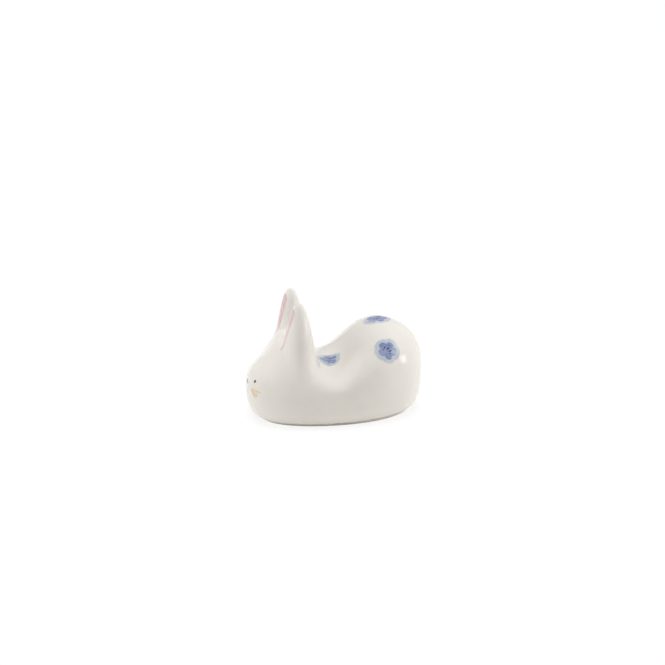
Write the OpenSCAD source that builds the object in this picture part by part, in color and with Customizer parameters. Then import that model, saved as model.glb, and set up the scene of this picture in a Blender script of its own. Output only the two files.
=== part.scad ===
// Chopstick rest in the form of a lying rabbit: slip-cast porcelain, clear glaze and painted marks.
// The nose points along -X, +Z is up, and the foot stands on the plane z = 0. Sizes of the body and the
// ears are the casting's own, and the glaze comes on top of them.

/* [Overall] */
// Length from nose to rump
rest_length = 41.5; // [36:0.5:54]
// Width across the widest line
rest_width = 25.7; // [22.5:0.1:32]
// Height of the ear tips above the table
ear_tip_height = 29.4; // [27:0.1:36]

/* [Body] */
// Height of the widest line at the muzzle
muzzle_line = 7; // [5:0.1:9]
// Height of the widest line at the rump
rump_line = 9.9; // [8:0.1:11]
// Rise of the head above its widest line
head_rise = 9.4; // [8:0.1:12]
// Rise of the rump above its widest line
rump_rise = 13.4; // [11:0.1:16]
// Further rise of the brow, which carries the ears
brow_rise = 6.5; // [4:0.1:8]
// Distance from the nose to the top of the brow
brow_setback = 8.6; // [7:0.1:10]
// Half the run of the brow along the body
brow_run = 3.7; // [3:0.1:5]
// Depth of the saddle below the line from head to rump
saddle_dip = 6.5; // [4:0.1:8]
// Half the run of the saddle along the body
saddle_run = 6.2; // [4.5:0.1:8]
// Distance of the lowest point of the saddle ahead of the middle
saddle_lead = 0.4; // [0:0.1:2]
// How far the foot lies inside the widest line
foot_inset = 2.8; // [1.5:0.1:4]

/* [Ears] */
// Distance from the nose to the ears
ear_setback = 11.4; // [10:0.1:14]
// Distance between the two ear tips
ear_spacing = 10; // [8:0.1:12]
// Length of an ear, from the tip down to where its root is measured
ear_length = 12; // [9:0.1:15]
// Depth of the root in front of the tip
ear_root_front = 3.25; // [3:0.05:4.5]
// Depth of the root behind the tip
ear_root_back = 3.55; // [3:0.05:4.5]
// Half the width of the root
ear_root_half_width = 4.4; // [4:0.1:6]
// Height over which an ear is blended into the head
ear_blend = 7; // [4:0.5:10]

/* [Casting and glaze] */
// Wall of the hollow casting
casting_wall = 2.6; // [2:0.1:3.4]
// Thickness of the casting's floor
casting_floor = 3; // [2:0.1:4]
// Bore of the vent hole in the floor
vent_bore = 3; // [2:0.1:4]
// Distance of the vent hole behind the middle
vent_setback = 2; // [0:0.5:5]
// Thickness of the glaze
glaze_thickness = 0.25; // [0.15:0.01:0.4]
// Height above the table at which the glaze was wiped off
glaze_edge_height = 0.9; // [0.5:0.1:2]

/* [Painted marks] */
// Thickness of the fired paint
paint_thickness = 0.1; // [0.06:0.01:0.2]
// Air left between the glaze and the paint
paint_seat = 0.05; // [0.02:0.01:0.1]
// Radius of an eye
eye_radius = 0.34; // [0.2:0.02:0.6]
// Distance between the two eyes
eye_spacing = 8.6; // [7:0.1:11]
// Height of the eyes above the table
eye_height = 10.3; // [9.5:0.1:12]
// Width of the nose
nose_width = 1.7; // [1:0.1:2.4]
// Height of the middle of the nose above the table
nose_height = 9; // [8.4:0.1:10.5]
// Distance of the whiskers below the eyes
whisker_drop = 1.9; // [1.2:0.1:2.2]
// Length of the middle whisker stroke
whisker_length = 3.6; // [1.5:0.1:3.8]
// Width of a whisker stroke
whisker_width = 0.4; // [0.15:0.01:0.5]
// Width of the pink stroke near the tip of an ear
ear_stroke_width = 2.3; // [1:0.1:3]
// Length of the pink stroke down an ear
ear_stroke_length = 9.8; // [6:0.1:11]
// Radius of a painted blossom, to the tips of its petals
petal_reach = 2.4; // [1.5:0.05:3]
// The same radius on top of the rump
top_petal_reach = 2.6; // [1.8:0.05:3.2]
// Width of the pale wash around a blossom
wash_width = 0.95; // [0.5:0.05:1.5]
// Length of the longest stamen stroke
stamen_length = 0.95; // [0.5:0.05:1.3]
// Distance of the blossom on top of the rump from the middle, towards the right side
top_blossom_aside = 1.2; // [0:0.1:2]
// Distance of the blossom in the saddle from the roots of the ears
saddle_blossom_clearance = 0.9; // [0.8:0.1:2.5]

/* [Hidden] */

full_turn = 360;
half_turn = full_turn/2;
quarter_turn = full_turn/4;

half_length = rest_length/2;
half_width = rest_width/2;
ear_x = ear_setback - half_length;
ear_y = ear_spacing/2;
brow_x = brow_setback - half_length;

// Powers that give the outlines their fullness: a smaller one is fuller
plan_fullness_share = 0.393;
section_fullness_share = 0.36;
brow_fullness_share = 0.8;
nose_fullness_share = 0.37;
rump_fullness_share = 0.275;
belly_fullness_share = 3.2;
ear_taper_share = 2.2;
// Share of the half length over which the head's sizes turn into the rump's
turn_share = 0.7;
// Share by which the head is narrower than the rump
head_narrowing_share = 0.05;
// Least share of a width that a formula may divide by
least_share = 0.0001;

// A step from 0 to 1 with soft ends, as t goes from 0 to 1
function ease(t) = let (s = min(max(t, 0), 1)) s*s*(3 - 2*s);

// A hill of height 1 around the place middle, with half its run given
function hill(x, middle, run) = exp(-pow((x - middle)/run, 2));

// The higher of two heights, with their meeting line rounded over the height run
function blend(a, b, run) = max(a, b) + pow(max(run - abs(a - b), 0), 2)/(4*run);

function unit(v) = v/norm(v);

// How far the place x lies from the head, 0, towards the rump, 1
function towards_rump(x) = ease((x/half_length + turn_share)/(2*turn_share));

function from_head_to_rump(x, head, rump) = head + (rump - head)*towards_rump(x);

// What is left of a size at x, where both ends round off to nothing
function rounded_end(x, power) = pow(max(1 - pow(x/half_length, 2), 0), power);

function widest_line(x) = from_head_to_rump(x, muzzle_line, rump_line);

// The plan as shares of its fullest width, which is found by trying places along the body
plan_trials = 60;
function plan_share(x) =
    (1 - head_narrowing_share*(1 - towards_rump(x)))*rounded_end(x, plan_fullness_share);
fullest_share = max([for (i = [0:plan_trials]) plan_share(half_length*i/plan_trials)]);
function plan_half_width(x) = half_width*plan_share(x)/fullest_share;

// Height of the back without its ears: head and rump, the saddle between them, and the brow
function back_height(x, y) =
    let (
        across = min(abs(y)/max(plan_half_width(x), least_share*half_width), 1),
        fall = 1 - across*across,
        rise = from_head_to_rump(x, head_rise, rump_rise) - saddle_dip*hill(x, -saddle_lead, saddle_run),
        brow = brow_rise*hill(x, brow_x, brow_run)
    )
    widest_line(x)
    + rounded_end(x, from_head_to_rump(x, nose_fullness_share, rump_fullness_share))
        * (rise*pow(fall, section_fullness_share) + brow*pow(fall, brow_fullness_share));

// Height of the ear on one side, which is a rounded horn that widens to its root and goes on below it
function ear_height(x, y, side) =
    let (root = x > ear_x ? ear_root_back : ear_root_front)
    ear_tip_height
    - ear_length*pow(norm([(x - ear_x)/root, (y - side*ear_y)/ear_root_half_width]), ear_taper_share);

// Height of the whole upper surface
function top_height(x, y, ears = true) =
    let (back = back_height(x, y))
    ears ? blend(blend(back, ear_height(x, y, -1), ear_blend), ear_height(x, y, 1), ear_blend) : back;

// The skin is a net: stations turn from nose to rump, and lines turn across the back, both in degrees.
// The stations lie closest at the ears and closer in the saddle.
nose_steps = 7;
ear_steps = 12;
saddle_steps = 8;
rump_steps = 10;
cross_steps = 34;
ears_start_share = -0.69;
ears_end_share = -0.2;
saddle_end_share = 0.24;
function spread(first, last, steps) = [for (i = [0:steps - 1]) first + (last - first)*i/steps];
fine_stations = concat(
    spread(-quarter_turn, asin(ears_start_share), nose_steps),
    spread(asin(ears_start_share), asin(ears_end_share), ear_steps),
    spread(asin(ears_end_share), asin(saddle_end_share), saddle_steps),
    spread(asin(saddle_end_share), quarter_turn, rump_steps),
    [quarter_turn]
);
fine_lines = concat(spread(-quarter_turn, quarter_turn, cross_steps), [quarter_turn]);
cavity_long_steps = 16;
cavity_cross_steps = 12;
cavity_stations = concat(spread(-quarter_turn, quarter_turn, cavity_long_steps), [quarter_turn]);
cavity_lines = concat(spread(-quarter_turn, quarter_turn, cavity_cross_steps), [quarter_turn]);
// Levels of the rings below the widest line, as shares of the way down
belly_level_shares = [0.25, 0.48, 0.68, 0.85, 1];

// A point of the upper net
function upper_point(station, line, ears) =
    let (
        x = half_length*sin(station),
        y = plan_half_width(x)*sin(line)
    )
    [x, y, top_height(x, y, ears)];

// The way out of the upper net, from two small turns along it
net_turn = 0.5;
function inside_turn(angle) = min(max(angle, -quarter_turn), quarter_turn);
function upper_normal(station, line, ears) =
    let (
        along = upper_point(inside_turn(station + net_turn), line, ears)
            - upper_point(inside_turn(station - net_turn), line, ears),
        across = upper_point(station, inside_turn(line + net_turn), ears)
            - upper_point(station, inside_turn(line - net_turn), ears)
    )
    unit(cross(along, across));

// The level way out of the outline, on one side
function outline_normal(station, side) =
    let (
        ahead = upper_point(inside_turn(station + net_turn), side*quarter_turn, false),
        behind = upper_point(inside_turn(station - net_turn), side*quarter_turn, false),
        way = ahead - behind
    )
    unit([-side*way.y, side*way.x, 0]);

function net_normal(station, line, ears) =
    abs(line) == quarter_turn ? outline_normal(station, sign(line)) : upper_normal(station, line, ears);

// A point of the belly at the height z, below the point start of the outline and lifted along its way out
function belly_point(start, z, out_way, lift) =
    let (
        down = 1 - z/start.z,
        inset = foot_inset*pow(down, belly_fullness_share),
        slope = foot_inset*belly_fullness_share*pow(down, belly_fullness_share - 1)/start.z,
        way = unit([out_way.x, out_way.y, -slope])
    )
    [start.x*(1 - inset/half_length), start.y*(1 - inset/half_width), z] + lift*way;

// Places around the outline, as a station number and a side: nose, left side, rump, right side
function outline(stations) =
    let (last = len(stations) - 1)
    concat([[0, -1]], [for (i = [1:last - 1]) [i, -1]], [[last, 1]], [for (i = [last - 1:-1:1]) [i, 1]]);

function outline_way(stations, place) =
    let (last = len(stations) - 1)
    place[0] == 0 ? [-1, 0, 0] : place[0] == last ? [1, 0, 0] : outline_normal(stations[place[0]], place[1]);

// All points of a skin: nose, rump, the rows of the back, then the rings of the belly. A level is a
// share of the way down from the outline and the height that this way goes down to.
function skin_points(stations, lines, levels, ears, lift, last_lift) =
    let (last = len(stations) - 1, places = outline(stations))
    concat(
        [for (end = [-1, 1]) [end*(half_length + lift), 0, widest_line(end*half_length)]],
        [for (i = [1:last - 1], line = lines)
            upper_point(stations[i], line, ears) + lift*net_normal(stations[i], line, ears)],
        [for (k = [0:len(levels) - 1], place = places)
            let (
                start = upper_point(stations[place[0]], place[1]*quarter_turn, ears),
                height = levels[k].y + (start.z - levels[k].y)*(1 - levels[k].x)
            )
            belly_point(start, height, outline_way(stations, place), k == len(levels) - 1 ? last_lift : lift)]
    );

// Numbers of the points: in the upper net, around the outline, and in a ring of the belly
function net_number(i, j, last, across) = i == 0 ? 0 : i == last ? 1 : 2 + (i - 1)*(across + 1) + j;
function outline_number(place, last, across) = net_number(place[0], place[1] < 0 ? 0 : across, last, across);
function ring_number(k, t, last, across) =
    2 + (last - 1)*(across + 1) + (k - 1)*2*last + t % (2*last);

// Two triangles for the four corners of a mesh, or one where two corners meet. A mesh is split from its
// first corner to its third, or when crossed from its second to its fourth.
function mesh_faces(a, b, c, d, crossed = false) =
    [for (f = crossed ? [[b, c, d], [b, d, a]] : [[a, b, c], [a, c, d]])
        if (f[0] != f[1] && f[1] != f[2] && f[2] != f[0]) f];

// The same, split along the shorter way between the given points, so that ridges and hollows run smooth
function short_split_faces(points, a, b, c, d) =
    mesh_faces(a, b, c, d, norm(points[b] - points[d]) < norm(points[a] - points[c]));

// Faces of a skin, split as its points on the casting ask, with the number of its first point
function skin_faces(points, stations, lines, ring_count, first = 0) =
    let (last = len(stations) - 1, across = len(lines) - 1, places = outline(stations))
    [for (f = concat(
        [for (i = [0:last - 1], j = [0:across - 1])
            each short_split_faces(points, net_number(i, j, last, across), net_number(i, j + 1, last, across),
                net_number(i + 1, j + 1, last, across), net_number(i + 1, j, last, across))],
        [for (k = [0:ring_count - 1], t = [0:2*last - 1])
            let (
                upper = k == 0 ? outline_number(places[t], last, across) : ring_number(k, t, last, across),
                upper_next = k == 0 ? outline_number(places[(t + 1) % (2*last)], last, across)
                    : ring_number(k, t + 1, last, across)
            )
            each short_split_faces(points, upper, upper_next, ring_number(k + 1, t + 1, last, across),
                ring_number(k + 1, t, last, across))]
    )) [for (p = f) p + first]];

function last_ring(stations, lines, ring_count) =
    let (last = len(stations) - 1, across = len(lines) - 1)
    [for (t = [0:2*last - 1]) ring_number(ring_count, t, last, across)];

function turned(faces) = [for (f = faces) [for (i = [len(f) - 1:-1:0]) f[i]]];

glazed_levels = [for (share = belly_level_shares) [share, glaze_edge_height]];
body_levels = concat(glazed_levels, [[1, 0]]);
cavity_levels = [for (share = belly_level_shares) [share, casting_floor]];

// A skin with a flat underside
module closed_skin(points, stations, lines, ring_count) {
    polyhedron(
        points = points,
        faces = concat(
            skin_faces(points, stations, lines, ring_count),
            [last_ring(stations, lines, ring_count)]
        )
    );
}

// The hollow inside of the casting, which keeps out of the ears and stands level on the floor
module cavity() {
    points = skin_points(cavity_stations, cavity_lines, cavity_levels, false, -casting_wall, -casting_wall);
    floor_start = len(points) - 2*(len(cavity_stations) - 1);
    levelled = [for (i = [0:len(points) - 1])
        [points[i].x, points[i].y, i < floor_start ? points[i].z : casting_floor]];
    closed_skin(levelled, cavity_stations, cavity_lines, len(cavity_levels));
}

vent_sides = 48;
module vent() {
    translate([vent_setback, 0, -casting_floor])
        cylinder(d = vent_bore, h = 3*casting_floor, $fn = vent_sides);
}

// The slip-cast porcelain: ears, saddle and rump in one wall, a flat foot, and a vent in the floor
module porcelain_body() {
    color("white")
    difference() {
        closed_skin(skin_points(fine_stations, fine_lines, body_levels, true, 0, 0), fine_stations, fine_lines,
            len(body_levels));
        cavity();
        vent();
    }
}

// Share of a coat's or a paint's thickness that is left at its very edge
feather_share = 0.3;

// The clear glaze: a thin coat on the whole casting, wiped off around the foot
module glaze_coat() {
    rings = len(glazed_levels);
    outer = skin_points(fine_stations, fine_lines, glazed_levels, true, glaze_thickness,
        feather_share*glaze_thickness);
    inner = skin_points(fine_stations, fine_lines, glazed_levels, true, 0, 0);
    count = len(outer);
    edge = last_ring(fine_stations, fine_lines, rings);
    color("ghostwhite")
    polyhedron(
        points = concat(outer, inner),
        faces = concat(
            skin_faces(inner, fine_stations, fine_lines, rings),
            turned(skin_faces(inner, fine_stations, fine_lines, rings, count)),
            [for (t = [0:len(edge) - 1])
                let (next = (t + 1) % len(edge))
                each mesh_faces(edge[t], edge[next], edge[next] + count, edge[t] + count)]
        )
    );
}

// A painted mark is laid on the glaze from outside. Its own flat plan, in u and v, is sent along the
// line of sight until it meets the casting, and is lifted from there by the glaze and its seat.
halvings = 16;
probe_share = 0.002;
function inside(p) =
    abs(p.x) < half_length && abs(p.y) < plan_half_width(p.x) && p.z < top_height(p.x, p.y);
function way_to_skin(p, d, near, far, n) =
    let (middle = (near + far)/2)
    n == 0 ? middle
    : inside(p + d*middle) ? way_to_skin(p, d, middle, far, n - 1) : way_to_skin(p, d, near, middle, n - 1);
function skin_normal(p) =
    let (
        probe = probe_share*rest_length,
        step_x = p.x > 0 ? -probe : probe,
        step_y = p.y > 0 ? -probe : probe,
        here = top_height(p.x, p.y)
    )
    unit([(here - top_height(p.x + step_x, p.y))/step_x, (here - top_height(p.x, p.y + step_y))/step_y, 1]);

// The sight of a mark: a point inside the casting, the way out, the two ways across, and its seat
function sight(from, towards, up, seat = paint_seat) =
    let (d = unit(towards), u = unit(cross(up, d)))
    [from, d, u, cross(d, u), seat];
function laid_over(s) = [s[0], s[1], s[2], s[3], s[4] + paint_thickness + paint_seat];
// Flat facets bridge a hollow, so a mark in one is seated a little higher
hollow_seat = 2*paint_seat;
function painted_point(s, u, v, lift) =
    let (
        start = s[0] + u*s[2] + v*s[3],
        skin = start + s[1]*way_to_skin(start, s[1], 0, half_length, halvings)
    )
    skin + (glaze_thickness + s[4] + lift)*skin_normal(skin);

function loop_faces(a, b, count) =
    [for (t = [0:count - 1])
        let (next = (t + 1) % count)
        each mesh_faces(a + t, a + next, b + next, b + t)];

// A flat mark inside the outline, from rings that shrink to its middle
module painted_field(s, outline_uv, ring_shares) {
    count = len(outline_uv);
    rings = len(ring_shares);
    function field(lift, edge_lift) = [for (k = [0:rings - 1], p = outline_uv)
        painted_point(s, p.x*ring_shares[k], p.y*ring_shares[k], k == 0 ? edge_lift : lift)];
    points = concat(
        field(0, 0), [painted_point(s, 0, 0, 0)],
        field(paint_thickness, feather_share*paint_thickness), [painted_point(s, 0, 0, paint_thickness)]
    );
    top = rings*count + 1;
    upper_faces = concat(
        [for (k = [0:rings - 2]) each loop_faces(top + (k + 1)*count, top + k*count, count)],
        [for (t = [0:count - 1])
            [top + rings*count, top + (rings - 1)*count + (t + 1) % count, top + (rings - 1)*count + t]]
    );
    lower_faces = concat(
        [for (k = [0:rings - 2]) each loop_faces(k*count, (k + 1)*count, count)],
        [for (t = [0:count - 1])
            [rings*count, (rings - 1)*count + t, (rings - 1)*count + (t + 1) % count]]
    );
    polyhedron(points = points, faces = concat(upper_faces, lower_faces, loop_faces(top, 0, count)));
}

// A flat mark between an inner and an outer outline
module painted_band(s, inner_uv, outer_uv) {
    count = len(inner_uv);
    function band(lift, outer_lift) = concat(
        [for (p = inner_uv) painted_point(s, p.x, p.y, lift)],
        [for (t = [0:count - 1])
            let (p = (inner_uv[t] + outer_uv[t])/2)
            painted_point(s, p.x, p.y, lift)],
        [for (p = outer_uv) painted_point(s, p.x, p.y, outer_lift)]
    );
    points = concat(band(0, 0), band(paint_thickness, feather_share*paint_thickness));
    top = 3*count;
    faces = concat(
        loop_faces(count + top, 2*count + top, count),
        loop_faces(top, count + top, count),
        loop_faces(count, 0, count),
        loop_faces(2*count, count, count),
        loop_faces(0, top, count),
        loop_faces(2*count + top, 2*count, count)
    );
    polyhedron(points = points, faces = faces);
}

// One brush stroke along a route of points in u and v, lens-shaped across and pointed at both ends
module brush_stroke(s, route, widths) {
    last = len(route) - 1;
    ways = [for (i = [0:last]) unit(route[min(i + 1, last)] - route[max(i - 1, 0)])];
    function stroke_point(i, half, lift) =
        painted_point(s, route[i].x - ways[i].y*half, route[i].y + ways[i].x*half, lift);
    points = concat(
        [stroke_point(0, 0, 0), stroke_point(last, 0, 0)],
        [for (i = [1:last - 1])
            each [stroke_point(i, -widths[i]/2, 0), stroke_point(i, 0, paint_thickness),
                stroke_point(i, widths[i]/2, 0), stroke_point(i, 0, 0)]]
    );
    function number(i, t) = i == 0 ? 0 : i == last ? 1 : 2 + (i - 1)*4 + t % 4;
    faces = [for (i = [0:last - 1], t = [0:3])
        each mesh_faces(number(i, t), number(i, t + 1), number(i + 1, t + 1), number(i + 1, t))];
    polyhedron(points = points, faces = faces);
}

// A bowed route from one place to another, and the widths of a stroke that is widest at one share of it
function bowed(from, to, bow_share, steps) =
    let (way = to - from)
    [for (i = [0:steps]) from + way*i/steps + [-way.y, way.x]*bow_share*sin(half_turn*i/steps)];
function swelling(width, widest_share, steps) =
    [for (i = [0:steps])
        let (t = i/steps, side = t < widest_share ? t/widest_share : (1 - t)/(1 - widest_share))
        width*sin(quarter_turn*side)];

function ellipse(half_u, half_v, count) =
    [for (t = [0:count - 1]) [half_u*cos(full_turn*t/count), half_v*sin(full_turn*t/count)]];

// Face: every mark is seen from the front, and the eyes and whiskers a little from their own side
face_sides = 16;
face_ring_shares = [1, 0.5];
face_turn_share = 0.35;
nose_fall_share = 0.75;
eye_tall_share = 1.2;
function face_sight(y, z, turn) =
    sight([ear_x, y - turn*(half_length + ear_x), z], [-1, turn, 0], [0, 0, 1]);

module nose() {
    color("palevioletred")
    painted_field(face_sight(0, nose_height, 0),
        ellipse(nose_width/2, nose_fall_share*nose_width/2, face_sides), face_ring_shares);
}

module eye(side) {
    color("black")
    painted_field(face_sight(side*eye_spacing/2, eye_height, side*face_turn_share),
        ellipse(eye_radius, eye_tall_share*eye_radius, face_sides), face_ring_shares);
}

// Three whisker strokes fan out from beside the nose, back along the cheek. Each starts two widths
// further out than the one above it, so that they stay apart.
whisker_gap_widths = 2;
whisker_start_share = 0.4;
whisker_fan = [2, -23, -47];
whisker_length_shares = [1, 0.8, 0.7];
whisker_steps = 5;
whisker_bow_share = 0.05;
whisker_widest_share = 0.35;
module whiskers(side) {
    view = face_sight(side*whisker_start_share*eye_spacing, eye_height - whisker_drop, side*face_turn_share);
    color("sandybrown")
    for (i = [0:len(whisker_fan) - 1]) {
        way = [-side*cos(whisker_fan[i]), sin(whisker_fan[i])];
        start = whisker_gap_widths*whisker_width*i;
        reach = whisker_length*whisker_length_shares[i];
        brush_stroke(view, bowed(way*start, way*reach, whisker_bow_share, whisker_steps),
            swelling(whisker_width, whisker_widest_share, whisker_steps));
    }
}

// One long stroke down the front of each ear, broad near the tip. Its foot lies in the hollow where the
// ear rises from the brow, so it takes the hollow's seat. The right one starts nearer to the other ear
// and leans further inwards, as the brush fell.
ear_stroke_top_share = 0.13;
// How far a stroke starts aside and how far it leans, as shares of the distance between the ears
left_stroke_shares = [-0.045, 0.03];
right_stroke_shares = [0.07, 0.12];
ear_stroke_bow_share = 0.02;
ear_stroke_widest_share = 0.16;
ear_stroke_steps = 12;
module ear_stroke(side, shares) {
    top = ear_tip_height - ear_stroke_top_share*ear_length;
    view = sight([ear_x, side*(ear_y - shares[0]*ear_spacing), top], [-1, 0, 0], [0, 0, 1], hollow_seat);
    foot = [side*shares[1]*ear_spacing, -ear_stroke_length];
    color("pink")
    brush_stroke(view, bowed([0, 0], foot, side*ear_stroke_bow_share, ear_stroke_steps),
        swelling(ear_stroke_width, ear_stroke_widest_share, ear_stroke_steps));
}

// A blossom: five round petals, a pale wash around them and a few stamen strokes in the middle
petal_count = 5;
petal_sides = 30;
petal_ring_shares = [1, 0.6, 0.25];
petal_notch_share = 0.3;
petal_notch_power = 1.5;
stamen_angles = [28, 60, 92, 124, 160];
stamen_length_shares = [0.7, 1, 0.8, 1, 0.65];
stamen_start_share = 0.25;
stamen_width_share = 0.2;
stamen_bow_share = 0.05;
stamen_widest_share = 0.6;
stamen_steps = 3;
blossom_angles = [for (t = [0:petal_sides - 1]) full_turn*t/petal_sides];
function around(angle, r) = r*[cos(angle), sin(angle)];
function petal_radius(angle, reach) =
    reach*(1 - petal_notch_share*pow(1 - abs(cos(petal_count*angle/2)), petal_notch_power));
function wash_radius(angle, reach) = (petal_radius(angle, reach) + 2*reach)/3 + wash_width;

module blossom_petals(view, turn, reach) {
    color("royalblue")
    painted_field(view, [for (a = blossom_angles) around(a + turn, petal_radius(a, reach))],
        petal_ring_shares);
}

module blossom_wash(view, turn, reach) {
    color("lightsteelblue")
    painted_band(view,
        [for (a = blossom_angles) around(a + turn, petal_radius(a, reach) + paint_seat)],
        [for (a = blossom_angles) around(a + turn, wash_radius(a, reach))]);
}

// The stamens are the last strokes, laid over the petals
module blossom_stamens(view) {
    start = stamen_start_share*stamen_length;
    color("midnightblue")
    for (i = [0:len(stamen_angles) - 1]) {
        tip = start + stamen_length*stamen_length_shares[i];
        brush_stroke(laid_over(view),
            bowed(around(stamen_angles[i], start), around(stamen_angles[i], tip), stamen_bow_share, stamen_steps),
            swelling(stamen_width_share*stamen_length, stamen_widest_share, stamen_steps));
    }
}

// Where the blossoms lie: on top of the rump, on its two sides and in the hollow of the saddle
rump_blossom_x = 0.52*half_length;
saddle_blossom_x = ear_x + ear_root_back + saddle_blossom_clearance + wash_width + petal_reach;
saddle_blossom_y = -0.13*half_width;
side_blossom_rise_share = 0.85;
top_turn = 20;
side_turn = 57;
saddle_turn = 40;
function side_sight(side) =
    sight([rump_blossom_x, 0, rump_line], [0, side, side_blossom_rise_share], [0, 0, 1]);
rump_top = sight([rump_blossom_x, top_blossom_aside, rump_line], [0, 0, 1], [1, 0, 0]);
saddle = sight([saddle_blossom_x, saddle_blossom_y, muzzle_line], [0, 0, 1], [1, 0, 0], hollow_seat);

porcelain_body();
glaze_coat();
nose();
eye(-1);  // left_eye
eye(1);  // right_eye
whiskers(-1);  // left_whiskers
whiskers(1);  // right_whiskers
ear_stroke(-1, left_stroke_shares);  // left_ear_stroke
ear_stroke(1, right_stroke_shares);  // right_ear_stroke
blossom_wash(rump_top, top_turn, top_petal_reach);  // rump_top_wash
blossom_petals(rump_top, top_turn, top_petal_reach);  // rump_top_petals
blossom_stamens(rump_top);  // rump_top_stamens
blossom_wash(side_sight(-1), side_turn, petal_reach);  // left_side_wash
blossom_petals(side_sight(-1), side_turn, petal_reach);  // left_side_petals
blossom_stamens(side_sight(-1));  // left_side_stamens
blossom_wash(side_sight(1), side_turn, petal_reach);  // right_side_wash
blossom_petals(side_sight(1), side_turn, petal_reach);  // right_side_petals
blossom_stamens(side_sight(1));  // right_side_stamens
blossom_wash(saddle, saddle_turn, petal_reach);  // saddle_wash
blossom_petals(saddle, saddle_turn, petal_reach);  // saddle_petals
blossom_stamens(saddle);  // saddle_stamens
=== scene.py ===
import math

import bmesh
import bpy
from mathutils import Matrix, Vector


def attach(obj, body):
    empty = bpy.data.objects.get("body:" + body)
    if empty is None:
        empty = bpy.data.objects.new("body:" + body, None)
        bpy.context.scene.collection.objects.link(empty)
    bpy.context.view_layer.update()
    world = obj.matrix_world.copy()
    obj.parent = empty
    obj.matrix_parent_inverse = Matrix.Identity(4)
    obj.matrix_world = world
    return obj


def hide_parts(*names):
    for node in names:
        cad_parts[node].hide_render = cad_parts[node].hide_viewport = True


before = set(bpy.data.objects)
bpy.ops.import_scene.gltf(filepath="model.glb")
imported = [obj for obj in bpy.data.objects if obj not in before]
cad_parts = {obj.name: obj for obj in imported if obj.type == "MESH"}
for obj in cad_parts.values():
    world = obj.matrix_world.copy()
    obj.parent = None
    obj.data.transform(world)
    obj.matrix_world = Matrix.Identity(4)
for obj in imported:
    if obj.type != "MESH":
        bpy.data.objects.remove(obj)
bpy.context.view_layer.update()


# The porcelain body
# One hollow wall, left by porcelain slip that was poured into a plaster mould and drained. Its foot is
# left bare of glaze, so there it is dull and faintly grainy, where the rest of it shines.
def tint(red, green, blue):
    """A colour from its display values out of 255, as a material needs it."""
    def linear(value):
        share = value/255
        return share/12.92 if share <= 0.04045 else ((share + 0.055)/1.055)**2.4
    return (linear(red), linear(green), linear(blue), 1)


def new_material(name):
    material = bpy.data.materials.new(name)
    material.use_nodes = True
    tree = material.node_tree
    return material, tree, tree.nodes["Principled BSDF"]


def noise_field(tree, scale, detail, roughness=0.5):
    """Soft cloudy variation over the piece, with scale features to the metre."""
    place = tree.nodes.new("ShaderNodeTexCoord")
    noise = tree.nodes.new("ShaderNodeTexNoise")
    noise.inputs["Scale"].default_value = scale
    noise.inputs["Detail"].default_value = detail
    noise.inputs["Roughness"].default_value = roughness
    tree.links.new(place.outputs["Object"], noise.inputs["Vector"])
    return noise.outputs["Fac"]


def mixed(tree, share, first, second):
    """Two colours mixed; each is a colour or the output of another node, and so is the share."""
    mix = tree.nodes.new("ShaderNodeMix")
    mix.data_type = "RGBA"
    for socket, value in ((mix.inputs[0], share), (mix.inputs[6], first), (mix.inputs[7], second)):
        if isinstance(value, bpy.types.NodeSocket):
            tree.links.new(value, socket)
        else:
            socket.default_value = value
    return mix.outputs[2]


def between(tree, value, low, high, start=0.0, end=1.0):
    """A value that runs softly from start to end as its source goes from low to high."""
    run = tree.nodes.new("ShaderNodeMapRange")
    run.interpolation_type = "SMOOTHSTEP"
    tree.links.new(value, run.inputs["Value"])
    for name, number in (("From Min", low), ("From Max", high), ("To Min", start), ("To Max", end)):
        run.inputs[name].default_value = number
    return run.outputs["Result"]


def roughened(tree, surface, heights, depth):
    """Lets a surface shade as if its heights, from 0 to 1, stood up by the depth in metres."""
    bump = tree.nodes.new("ShaderNodeBump")
    bump.inputs["Distance"].default_value = depth
    tree.links.new(heights, bump.inputs["Height"])
    tree.links.new(bump.outputs["Normal"], surface.inputs["Normal"])


bisque_tones = (tint(222, 216, 206), tint(236, 231, 222))
bisque_roughness = 0.75
grains_to_the_metre, grain_detail, grain_sharpness, grain_depth = 2600, 6, 0.7, 0.00004
bisque, tree, surface = new_material("bisque_porcelain")
grain = noise_field(tree, grains_to_the_metre, grain_detail, grain_sharpness)
grain_tone = mixed(tree, between(tree, grain, low=0.3, high=0.7), *bisque_tones)
tree.links.new(grain_tone, surface.inputs["Base Color"])
surface.inputs["Roughness"].default_value = bisque_roughness
roughened(tree, surface, grain, grain_depth)
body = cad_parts["porcelain_body"]
body.data.materials.clear()
body.data.materials.append(bisque)


# The clear glaze
# A glass coat a quarter of a millimetre thick, fired over the whole rabbit and wiped off around the
# foot. Its form is the casting's own, in millimetres: head, brow, saddle and rump in one skin, and two
# horns blended into it as the ears.
half_length = 20.75
half_width = 12.85
muzzle_line, rump_line = 7.0, 9.9
head_rise, rump_rise = 9.4, 13.4
brow_rise, brow_x, brow_run = 6.5, -12.15, 3.7
saddle_dip, saddle_run, saddle_x = 6.5, 6.2, -0.4
foot_inset, belly_fullness = 2.8, 3.2
ear_tip, ear_length, ear_x, ear_y = 29.4, 12.0, -9.35, 5.0
ear_front, ear_back, ear_side, ear_taper, ear_blend = 3.25, 3.55, 4.4, 2.2, 7.0
glaze_thickness, glaze_shell = 0.25, 0.2
glaze_edge, edge_run, edge_share = 0.9, 0.7, 0.3
plan_fullness, section_fullness, brow_fullness = 0.393, 0.36, 0.8
nose_fullness, rump_fullness = 0.37, 0.275
turn_share, head_narrowing, fullest_share = 0.7, 0.05, 0.97685
least_width, least_reach, waist = 0.001, 1e-9, -1e-6
belly_end, belly_margin = 0.45, 0.01
millimetre = 0.001


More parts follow.
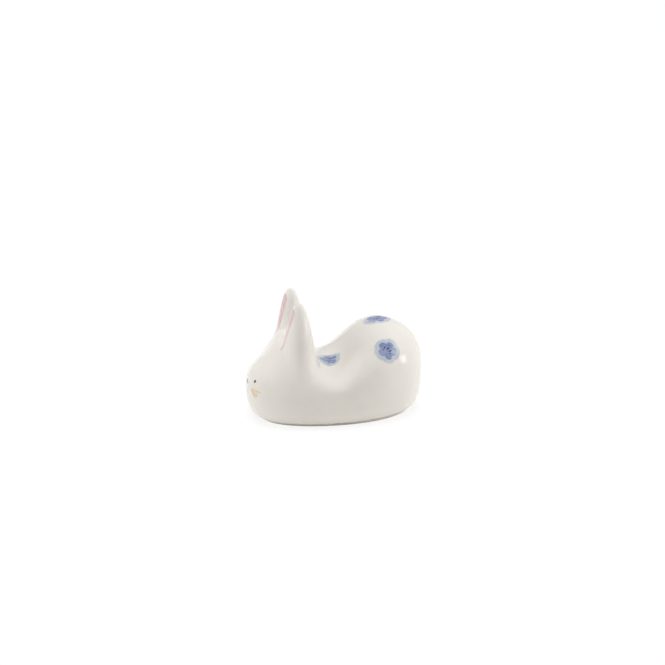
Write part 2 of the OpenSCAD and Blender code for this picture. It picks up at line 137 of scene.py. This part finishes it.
def ease(share):
    """A share kept from 0 to 1, with a soft start and end."""
    share = min(max(share, 0), 1)
    return share*share*(3 - 2*share)


def hill(x, middle, run):
    """A rounded rise of height 1 over its middle."""
    return math.exp(-((x - middle)/run)**2)


def blended(first, second, run):
    """The higher of two heights, with a soft hollow where they meet."""
    return max(first, second) + max(run - abs(first - second), 0)**2/(4*run)


def towards_rump(x):
    """0 on the head, 1 on the rump and a soft change between them."""
    return ease((x/half_length + turn_share)/(2*turn_share))


def from_head_to_rump(x, head, rump):
    return head + (rump - head)*towards_rump(x)


def rounded_end(x, power):
    """1 in the middle of the rest, falling to 0 at the muzzle and at the end of the rump."""
    return max(1 - (x/half_length)**2, 0)**power


def widest_line(x):
    """The height at which the flank is broadest."""
    return from_head_to_rump(x, muzzle_line, rump_line)


def plan_half_width(x):
    """Half the width of the rest, seen from above."""
    narrowing = 1 - head_narrowing*(1 - towards_rump(x))
    return half_width*narrowing*rounded_end(x, plan_fullness)/fullest_share


def back_height(x, y):
    """Head, brow, saddle and rump, without the ears."""
    across = min(abs(y)/max(plan_half_width(x), least_width), 1)
    fall = 1 - across*across
    rise = from_head_to_rump(x, head_rise, rump_rise) - saddle_dip*hill(x, saddle_x, saddle_run)
    brow = brow_rise*hill(x, brow_x, brow_run)
    end = rounded_end(x, from_head_to_rump(x, nose_fullness, rump_fullness))
    return widest_line(x) + end*(rise*fall**section_fullness + brow*fall**brow_fullness)


def ear_height(x, y, side):
    """One horn, which falls away from its tip a little faster to the front than to the back."""
    root = ear_back if x > ear_x else ear_front
    return ear_tip - ear_length*math.hypot((x - ear_x)/root, (y - side*ear_y)/ear_side)**ear_taper


def top_height(x, y):
    """The back and both ears as one skin."""
    with_left = blended(back_height(x, y), ear_height(x, y, -1), ear_blend)
    return blended(with_left, ear_height(x, y, 1), ear_blend)


def skin_point(direction):
    """Where a point of the unit ball goes on the casting: the upper half makes the back and the ears,
    and the lower half, down to the angle belly_end, makes the belly."""
    reach = math.hypot(direction.x, direction.y)
    around = direction.x/max(reach, least_reach)
    x = half_length*around
    y = math.copysign(plan_half_width(x), direction.y) if reach > least_reach else 0
    if direction.z > waist:
        x, y = x*reach, y*reach
        return Vector((x, y, top_height(x, y)))
    start = top_height(x, y)
    down = min(-math.asin(direction.z)/belly_end, 1)
    down = down*(1 - glaze_edge/start)
    inset = foot_inset*down**belly_fullness
    return Vector((x*(1 - inset/half_length), y*(1 - inset/half_width), start*(1 - down)))


def glaze_lift(height):
    """How far the glaze stands off the casting: it thins towards its wiped edge."""
    return glaze_thickness*(edge_share + (1 - edge_share)*ease((height - glaze_edge)/edge_run))


def show(name, form, material, slot, *nodes):
    """Turns a finished form into a piece of the rest, in place of its nodes."""
    mesh = bpy.data.meshes.new(name)
    bmesh.ops.scale(form, vec=(millimetre,)*3, verts=form.verts)
    for face in form.faces:
        face.smooth = True
    form.to_mesh(mesh)
    form.free()
    mesh.materials.append(material)
    piece = bpy.data.objects.new(name, mesh)
    bpy.context.scene.collection.objects.link(piece)
    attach(piece, "root")
    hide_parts(*nodes)
    return piece


def thickened(piece, thickness):
    """Gives a skin its thickness, inwards, so that its edge is closed."""
    solidify = piece.modifiers.new("thickness", "SOLIDIFY")
    solidify.thickness = thickness*millimetre
    solidify.offset = -1


glaze_tones = (tint(238, 234, 227), tint(233, 229, 222))
clouds_to_the_metre, cloud_detail = 90, 3
ripples_to_the_metre, ripple_detail, ripple_depth = 260, 2, 0.00006
glaze_roughness, glaze_index = 0.045, 1.52


def glaze_tone(tree):
    """The glaze's own tone: warm white, a little greyer in soft clouds."""
    clouds = noise_field(tree, clouds_to_the_metre, cloud_detail)
    return mixed(tree, between(tree, clouds, low=0.35, high=0.75), *glaze_tones)


def glaze_finish(tree, surface):
    """The gloss of fired glaze: hard and clear, and never quite flat."""
    surface.inputs["Roughness"].default_value = glaze_roughness
    surface.inputs["IOR"].default_value = glaze_index
    roughened(tree, surface, noise_field(tree, ripples_to_the_metre, ripple_detail), ripple_depth)


rings, sides = ((190, 300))
form = bmesh.new()
bmesh.ops.create_uvsphere(form, u_segments=sides, v_segments=rings, radius=1)
under_belly = [vert for vert in form.verts if vert.co.z < -math.sin(belly_end) - belly_margin]
bmesh.ops.delete(form, geom=under_belly, context="VERTS")
for vert in form.verts:
    vert.co = skin_point(vert.co.copy())
form.normal_update()
glazed = {vert: vert.co + vert.normal*glaze_lift(vert.co.z) for vert in form.verts}
for vert, place in glazed.items():
    vert.co = place
clear_glaze, tree, surface = new_material("clear_glaze")
tree.links.new(glaze_tone(tree), surface.inputs["Base Color"])
glaze_finish(tree, surface)
glaze = show("glaze_skin", form, clear_glaze, "clear_glaze", "glaze_coat")
thickened(glaze, glaze_shell)


# The face
# A pink nose, a black dot for each eye and a fan of tan whisker strokes on each cheek. All of it is
# enamel, brushed on the fired glaze and fired once more.
film, thin_film, thick_film = 0.04, 0.02, 0.06
sunk_from, sunk_depth = 0.9, film/4
slope_step, look_ahead = 0.05, 0.01
halvings, stroke_rows = 15, 8
enamel_streaks, streak_detail, streak_sharpness, raggedness = 900, 4, 0.6, 0.3


def skin_normal(x, y):
    """Which way the skin faces, from its slopes towards the middle of the rest."""
    step_x, step_y = math.copysign(slope_step, -x), math.copysign(slope_step, -y)
    here = top_height(x, y)
    slope_x = (here - top_height(x + step_x, y))/step_x
    slope_y = (here - top_height(x, y + step_y))/step_y
    return Vector((slope_x, slope_y, 1)).normalized()


def inside(point):
    """Whether a point lies within the plan of the casting and under its top."""
    return (abs(point.x) < half_length and abs(point.y) < plan_half_width(point.x)
            and point.z < top_height(point.x, point.y))


class Sight:
    """A place inside the casting from which a flat plan is sent outwards, onto the glaze."""
    def __init__(self, start, towards, up):
        self.start = Vector(start)
        self.towards = Vector(towards).normalized()
        self.right = Vector(up).cross(self.towards).normalized()
        self.up = self.towards.cross(self.right)

    def place(self, u, v, lift):
        start = self.start + u*self.right + v*self.up
        near, far = 0.0, half_length
        for _ in range(halvings):
            middle = (near + far)/2
            if inside(start + self.towards*middle):
                near = middle
            else:
                far = middle
        skin = start + self.towards*(near + far)/2
        return skin + (glaze_thickness + lift)*skin_normal(skin.x, skin.y)


def new_paint_form():
    """A form whose points also hold how near they lie to the paint's edge, and how much paint is there."""
    form = bmesh.new()
    form.verts.layers.float.new("reach")
    form.verts.layers.float.new("load")
    return form


def sunk_edge(lift, reach):
    """Paint thins to nothing at its edge, which ends just under the glaze."""
    return lift - (lift + sunk_depth)*ease((reach - sunk_from)/(1 - sunk_from))


def patch(form, sight, outline, lift, steps, load=lambda angle, reach: 1):
    """A round patch of paint: a square grid drawn to the outline, which is a reach for each angle."""
    reach, amount = form.verts.layers.float["reach"], form.verts.layers.float["load"]
    grid = bmesh.ops.create_grid(form, x_segments=steps, y_segments=steps, size=1)["verts"]
    for vert in grid:
        angle = math.atan2(vert.co.y, vert.co.x)
        near_edge = max(abs(vert.co.x), abs(vert.co.y))
        vert[reach], vert[amount] = near_edge, load(angle, near_edge)
        far = outline(angle)*near_edge
        vert.co = sight.place(far*math.cos(angle), far*math.sin(angle), sunk_edge(lift, near_edge))


def stroke(form, sight, route, width, lift, steps, load=1.0):
    """A brush stroke along a route, which gives u and v at each share of its length."""
    reach, amount = form.verts.layers.float["reach"], form.verts.layers.float["load"]
    grid = bmesh.ops.create_grid(form, x_segments=steps, y_segments=stroke_rows, size=1)["verts"]
    for vert in grid:
        share, side = (vert.co.x + 1)/2, vert.co.y
        here, ahead = Vector(route(share)), Vector(route(share + look_ahead))
        way = (ahead - here).normalized()
        aside = side*width(share)/2
        vert[reach], vert[amount] = abs(side), load
        vert.co = sight.place(here.x - way.y*aside, here.y + way.x*aside, sunk_edge(lift, abs(side)))


def tapered(width, lean, fullness):
    """A stroke's width, nothing at both ends; a lean under 1 puts the broadest place near its start."""
    return lambda t: width*math.sin(math.pi*min(max(t, 0), 1)**lean)**fullness


def heading(angle):
    """The way that points at an angle, given in degrees, in a flat plan."""
    return Vector((math.cos(math.radians(angle)), math.sin(math.radians(angle))))


def paint(name, under, tones, strength, thin_from, streaks):
    """Paint with the brush's uneven tone, which thins out towards its edge into what lies under it."""
    material, tree, surface = new_material(name)
    reach, load = [tree.nodes.new("ShaderNodeAttribute") for _ in range(2)]
    reach.attribute_name, load.attribute_name = "reach", "load"
    clouds = noise_field(tree, streaks, streak_detail, streak_sharpness)
    tone = mixed(tree, between(tree, clouds, low=0.35, high=0.65), *tones)
    ragged = tree.nodes.new("ShaderNodeMath")
    ragged.operation = "MULTIPLY_ADD"
    tree.links.new(clouds, ragged.inputs[0])
    ragged.inputs[1].default_value = raggedness
    tree.links.new(reach.outputs["Fac"], ragged.inputs[2])
    cover = tree.nodes.new("ShaderNodeMath")
    cover.operation = "MULTIPLY"
    thinning = between(tree, ragged.outputs[0], thin_from + raggedness/2, 1 + raggedness/2, strength, 0)
    tree.links.new(thinning, cover.inputs[0])
    tree.links.new(load.outputs["Fac"], cover.inputs[1])
    tree.links.new(mixed(tree, cover.outputs[0], under(tree), tone), surface.inputs["Base Color"])
    glaze_finish(tree, surface)
    return material


def face_sight(y, z, turn):
    """Looks forward to the face from between the ears, turned a share towards the cheek."""
    return Sight((ear_x, y - turn*(half_length + ear_x), z), (-1, turn, 0), (0, 0, 1))


def ellipse(half_u, half_v):
    """An outline for a patch: the reach of an oval at each angle."""
    return lambda angle: half_u*half_v/math.hypot(half_v*math.cos(angle), half_u*math.sin(angle))


nose_z, nose_half_width, nose_half_height = 8.85, 0.88, 0.68
nose_tones = (tint(192, 162, 166), tint(178, 146, 152))
nose_pink = paint("nose_pink", glaze_tone, nose_tones, strength=1, thin_from=0.7, streaks=enamel_streaks)
form = new_paint_form()
nose_outline = ellipse(nose_half_width, nose_half_height)
patch(form, face_sight(0, nose_z, 0), nose_outline, film, steps=17)
nose = show("nose_enamel", form, nose_pink, "pink_enamel", "nose")
thickened(nose, film)

cheek_turn = 0.35
eye_y, eye_z, eye_half_width, eye_half_height = 4.3, 10.3, 0.41, 0.31
eye_tones = (tint(38, 38, 36), tint(26, 26, 26))
eye_black = paint("eye_black", glaze_tone, eye_tones, strength=1, thin_from=0.75, streaks=enamel_streaks)

whisker_y, whisker_z, whisker_gap = 3.44, 8.4, 0.2
# Each whisker stroke's length, by its angle in degrees.
whisker_lengths = {2: 3.6, -23: 2.88, -47: 2.52}
whisker_width = tapered(0.56, lean=0.7, fullness=0.5)
smear_out, smear_down, smear_spread, smear_fall = 0.2, 0.1, 2.2, 0.95
smear_width, smear_widening, smear_load = 0.3, 2.1, 0.6
whisker_tones = (tint(222, 194, 154), tint(230, 206, 172))
whisker_tan = paint("whisker_tan", glaze_tone, whisker_tones, strength=1, thin_from=0.3,
                    streaks=enamel_streaks)
for name, side in (("left", -1), ("right", 1)):
    form = new_paint_form()
    sight = face_sight(side*eye_y, eye_z, side*cheek_turn)
    patch(form, sight, ellipse(eye_half_width, eye_half_height), film, steps=13)
    eye = show(name + "_eye_enamel", form, eye_black, "black_enamel", name + "_eye")
    thickened(eye, film)

    form = new_paint_form()
    sight = face_sight(side*whisker_y, whisker_z, side*cheek_turn)
    stroke(form, sight, lambda t: (-side*(smear_out + smear_spread*t), -(smear_down + smear_fall*t)),
           lambda t: smear_width + smear_widening*ease(t), thin_film, steps=20, load=smear_load)
    for i, (angle, length) in enumerate(whisker_lengths.items()):
        way = heading(angle)
        way.x *= -side
        start = whisker_gap*i
        stroke(form, sight, lambda t: way*(start + (length - start)*t), whisker_width, film, steps=24)
    whiskers = show(name + "_whisker_strokes", form, whisker_tan, "tan_enamel", name + "_whiskers")
    thickened(whiskers, film)


# The ear strokes
# One loaded stroke of pink enamel down the front of each ear, broad near the tip and thin at its foot,
# where the brush lifts off. It leans in towards the middle of the brow.
ear_brush_width, broadest_share, blunt_fullness, stroke_top = 2.3, 0.16, 0.6, 1.0
ear_tones = (tint(228, 201, 200), tint(219, 187, 190))
ear_streaks = 400


def ear_stroke_width(t):
    t = min(max(t, 0), 1)
    side = t/broadest_share if t < broadest_share else (1 - t)/(1 - broadest_share)
    return ear_brush_width*math.sin(math.pi/2*side**blunt_fullness)


# Each stroke has its side, its distance from the middle of the rest, its lean and its length.
ear_strokes = {"left": (-1, 5.45, 0.9, 10.6), "right": (1, 4.7, 1.3, 9.8)}
ear_pink = paint("ear_pink", glaze_tone, ear_tones, strength=0.95, thin_from=0.6, streaks=ear_streaks)
for name, (side, aside, lean, length) in ear_strokes.items():
    form = new_paint_form()
    sight = Sight((ear_x, side*aside, ear_tip - stroke_top), (-1, 0, 0), (0, 0, 1))
    stroke(form, sight, lambda t: (side*lean*t, -length*t), ear_stroke_width, film, steps=60)
    brushed = show(name + "_ear_pink", form, ear_pink, "pink_enamel", name + "_ear_stroke")
    thickened(brushed, film)


# The blossoms
# Four painted flowers, each brushed on the glaze in three goes: a watery pale wash, five cobalt petals
# on it, and dark stamens last, as short dashes.
petal_count, petal_notch, notch_sharpness = 5, 0.3, 1.5
uneven_spacing, uneven_turns, uneven_start = 0.06, 3, 0.9
wash_margin = 0.95
dry_petal, dry_run, dryness, dry_from, dry_over = math.radians(288), 0.5, 0.6, 0.2, 0.4
blossom_steps = 56
wash_tones = (tint(178, 189, 197), tint(204, 211, 219))
petal_tones = (tint(118, 131, 180), tint(150, 161, 194))
stamen_tones = (tint(34, 38, 60), tint(46, 50, 80))
wash_streaks, wash_detail, petal_streaks = 320, 3, 700


def petal_reach(angle, reach):
    """Five petals, which a hand never spaces quite evenly."""
    spaced = angle + uneven_spacing*math.sin(uneven_turns*angle + uneven_start)
    return reach*(1 - petal_notch*(1 - abs(math.cos(petal_count/2*spaced)))**notch_sharpness)


def wash_reach(angle, reach):
    """The wash is notched a third as deep as the petals, a brush's margin outside them."""
    return (petal_reach(angle, reach) + 2*reach)/3 + wash_margin


def petal_load(angle, turn, share):
    """The brush ran dry on the fifth petal, so it is paler than the others."""
    aside = math.remainder(angle - turn - dry_petal, math.tau)
    return 1 - dryness*hill(aside, 0, dry_run)*ease((share - dry_from)/dry_over)


def wash_tone(tree):
    """The dried wash, as it shows through at the edges of what is painted on it."""
    clouds = noise_field(tree, wash_streaks, wash_detail)
    return mixed(tree, between(tree, clouds, low=0.35, high=0.65), *wash_tones)


wash_blue = paint("wash_blue", glaze_tone, wash_tones, strength=0.95, thin_from=0.8, streaks=wash_streaks)
cobalt = paint("cobalt_petals", wash_tone, petal_tones, strength=1, thin_from=0.84, streaks=petal_streaks)
stamen_ink = paint("stamen_ink", wash_tone, stamen_tones, strength=1, thin_from=0.8,
                   streaks=enamel_streaks)

# Each stamen has its start, u and v, its angle in degrees and its length.
stamen_dashes = (
    (-0.78, 0.34, 53, 0.72),
    (-0.24, -0.08, 48, 1.05),
    (0.05, -0.48, 25, 1.1),
    (-1.0, 0.0, 62, 0.35),
    (0.2, -0.86, 8, 0.5),
)
stamen_width = tapered(0.3, lean=1.3, fullness=0.7)

rump_core = (10.79, 0, rump_line)
under_rump_top = (10.79, 1.2, rump_line)
under_saddle = (-1.55, -1.67, muzzle_line)
side_rise = 0.85
# Each blossom has its sight, its petals' reach and its turn in degrees.
blossoms = {
    "rump_top": (Sight(under_rump_top, (0, 0, 1), (1, 0, 0)), 2.6, 20),
    "left_side": (Sight(rump_core, (0, -1, side_rise), (0, 0, 1)), 2.4, 57),
    "right_side": (Sight(rump_core, (0, 1, side_rise), (0, 0, 1)), 2.4, 57),
    "saddle": (Sight(under_saddle, (0, 0, 1), (1, 0, 0)), 2.4, 40),
}
for name, (sight, reach, turn) in blossoms.items():
    turn = math.radians(turn)
    form = new_paint_form()
    patch(form, sight, lambda angle: wash_reach(angle - turn, reach), thin_film, blossom_steps)
    wash = show(name + "_wash_brushed", form, wash_blue, "pale_blue_wash", name + "_wash")
    thickened(wash, film)

    form = new_paint_form()
    patch(form, sight, lambda angle: petal_reach(angle - turn, reach), film, blossom_steps,
          load=lambda angle, share: petal_load(angle, turn, share))
    petals = show(name + "_petals_brushed", form, cobalt, "cobalt_paint", name + "_petals")
    thickened(petals, film)

    form = new_paint_form()
    for u, v, angle, length in stamen_dashes:
        start, way = Vector((u, v)), heading(angle)
        stroke(form, sight, lambda t: start + way*length*t, stamen_width, thick_film, steps=12)
    stamens = show(name + "_stamens_brushed", form, stamen_ink, "dark_cobalt_paint", name + "_stamens")
    thickened(stamens, film)


# The studio
# A white table under soft light from above and from the sides, one small bright window that shows in
# the gloss, and the camera where the photograph was taken from.
def backdrop_seen(tree, in_gloss):
    """How far a ray meets the white backdrop: wholly from the camera and through glass, less in gloss."""
    rays = tree.nodes.new("ShaderNodeLightPath")
    seen = rays.outputs["Is Camera Ray"]
    for ray, strength in (("Is Glossy Ray", in_gloss), ("Is Transmission Ray", 1)):
        either = tree.nodes.new("ShaderNodeMath")
        either.operation = "MULTIPLY_ADD"
        either.use_clamp = True
        tree.links.new(rays.outputs[ray], either.inputs[0])
        either.inputs[1].default_value = strength
        tree.links.new(seen, either.inputs[2])
        seen = either.outputs[0]
    return seen


def shaders_mixed(tree, share, first, second, output):
    both = tree.nodes.new("ShaderNodeMixShader")
    tree.links.new(share, both.inputs[0])
    tree.links.new(first.outputs[0], both.inputs[1])
    tree.links.new(second.outputs[0], both.inputs[2])
    tree.links.new(both.outputs[0], tree.nodes[output].inputs["Surface"])


table_size = 3
table_colour = (0.95, 0.932, 0.91, 1)
glow_strength, glow_share = 1.05, 0.8
table = bmesh.new()
bmesh.ops.create_grid(table, x_segments=2, y_segments=2, size=table_size)
mesh = bpy.data.meshes.new("table_top")
table.to_mesh(mesh)
table.free()
table_top = bpy.data.objects.new("table_top", mesh)
bpy.context.scene.collection.objects.link(table_top)
table_white, tree, surface = new_material("table_white")
surface.inputs["Base Color"].default_value = table_colour
surface.inputs["Roughness"].default_value = 1
surface.inputs["Specular IOR Level"].default_value = 0
glow = tree.nodes.new("ShaderNodeEmission")
glow.inputs["Strength"].default_value = glow_strength
seen_glow = tree.nodes.new("ShaderNodeMath")
seen_glow.operation = "MULTIPLY"
seen_glow.inputs[1].default_value = glow_share
tree.links.new(backdrop_seen(tree, in_gloss=1), seen_glow.inputs[0])
shaders_mixed(tree, seen_glow.outputs[0], surface, glow, "Material Output")
table_top.data.materials.append(table_white)

air_colour, air_strength, white_in_gloss = (1, 0.985, 0.965, 1), 0.03, 0.85
room = bpy.data.worlds.new("studio_air")
room.use_nodes = True
bpy.context.scene.world = room
tree = room.node_tree
air = tree.nodes["Background"]
air.inputs["Color"].default_value = air_colour
air.inputs["Strength"].default_value = air_strength
white = tree.nodes.new("ShaderNodeBackground")
white.inputs["Strength"].default_value = 1
shaders_mixed(tree, backdrop_seen(tree, white_in_gloss), air, white, "World Output")

rest_middle = Vector((0, 0, 0.012))


def softbox(name, place, width, height, watts, mirrored=False):
    """A lamp behind a white cloth, aimed at the rest; only a mirrored one shows in the gloss."""
    light = bpy.data.lights.new(name, "AREA")
    light.shape = "RECTANGLE"
    light.size, light.size_y = width, height
    light.energy = watts
    lamp = bpy.data.objects.new(name, light)
    lamp.location = place
    lamp.rotation_euler = (rest_middle - Vector(place)).to_track_quat("-Z", "Y").to_euler()
    lamp.visible_glossy = mirrored
    bpy.context.scene.collection.objects.link(lamp)


cloth = 0.6
softbox("top_softbox", (0, 0, 0.9), cloth, cloth, watts=5.5)
softbox("left_softbox", (-0.85, -0.05, 0.3), cloth, cloth, watts=3.6)
softbox("right_softbox", (0.85, -0.05, 0.3), cloth, cloth, watts=2.7)
softbox("back_softbox", (0, 0.75, 0.5), cloth, cloth, watts=1.6)
softbox("front_softbox", (0.65, -0.4, 0.3), cloth, cloth, watts=1.5)
softbox("window", (0.48, -0.19, 0.066), width=0.095, height=0.13, watts=0.15, mirrored=True)

azimuth, elevation, distance = math.radians(-12), math.radians(24.5), 0.5516
aim_up, aim_left = 0.01806, 0.00028
camera = bpy.data.cameras.new("camera")
camera.sensor_width = 36
camera.lens = 124.5
viewer = bpy.data.objects.new("camera", camera)
back = Vector((math.sin(azimuth)*math.cos(elevation), -math.cos(azimuth)*math.cos(elevation),
               math.sin(elevation)))
right = Vector((math.cos(azimuth), math.sin(azimuth), 0))
aim = back.cross(right)*aim_up - right*aim_left
viewer.location = back*distance
viewer.rotation_euler = (aim - viewer.location).to_track_quat("-Z", "Y").to_euler()
bpy.context.scene.collection.objects.link(viewer)
bpy.context.scene.camera = viewer
bpy.context.scene.view_settings.view_transform = "Standard"
